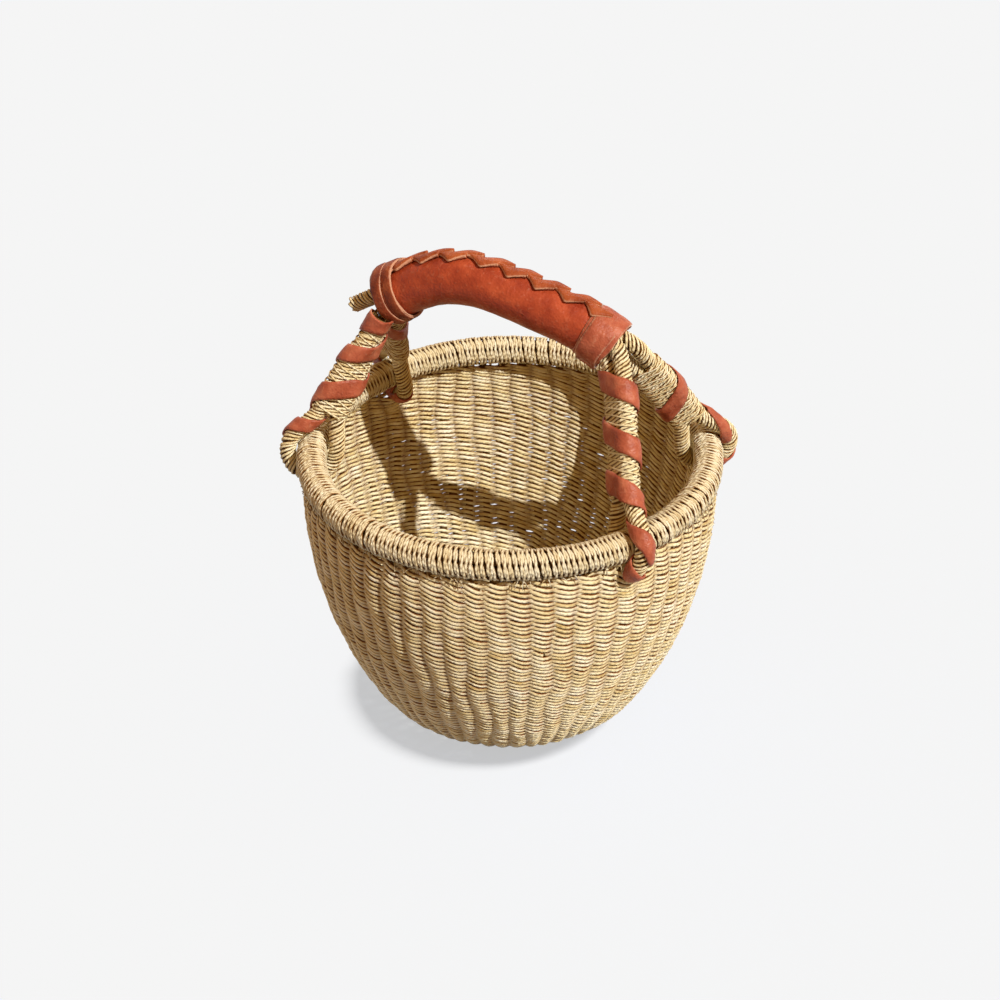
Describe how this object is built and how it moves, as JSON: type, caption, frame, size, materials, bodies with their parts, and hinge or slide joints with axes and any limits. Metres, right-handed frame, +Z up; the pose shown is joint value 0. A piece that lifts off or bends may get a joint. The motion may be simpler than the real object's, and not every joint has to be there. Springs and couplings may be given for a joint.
{
  "type": "bolga basket",
  "caption": "Small round twined grass basket with a bound rim roll and a fixed arched handle of rope legs and a leather grip.",
  "frame": {"origin": "centre of the flat base, on the surface that the basket stands on", "axes": "+Z up, +X along the handle's grip towards its right end, +Y to the far side"},
  "size_m": [0.221, 0.221, 0.2577],
  "materials": {
    "woven_straw": "dry twined elephant grass, matte",
    "bound_straw": "split straw wound side by side, soft sheen",
    "grip_leather": "polished dyed goat leather",
    "strip_leather": "dyed leather strip, dull and worn"
  },
  "bodies": {
    "root": {"woven_body": "woven_straw", "rim_core": "woven_straw", "rim_binding": "bound_straw", "near_rope": "bound_straw", "far_rope": "bound_straw", "right_near_leg_binding": "bound_straw", "right_far_leg_binding": "bound_straw", "left_near_leg_binding": "bound_straw", "left_far_leg_binding": "bound_straw", "right_near_leg_strip": "strip_leather", "right_far_leg_strip": "strip_leather", "left_near_leg_strip": "strip_leather", "left_far_leg_strip": "strip_leather", "grip_sleeve": "grip_leather", "left_collar": "strip_leather", "right_collar": "strip_leather", "grip_lace": "strip_leather"}
  },
  "joints": []
}
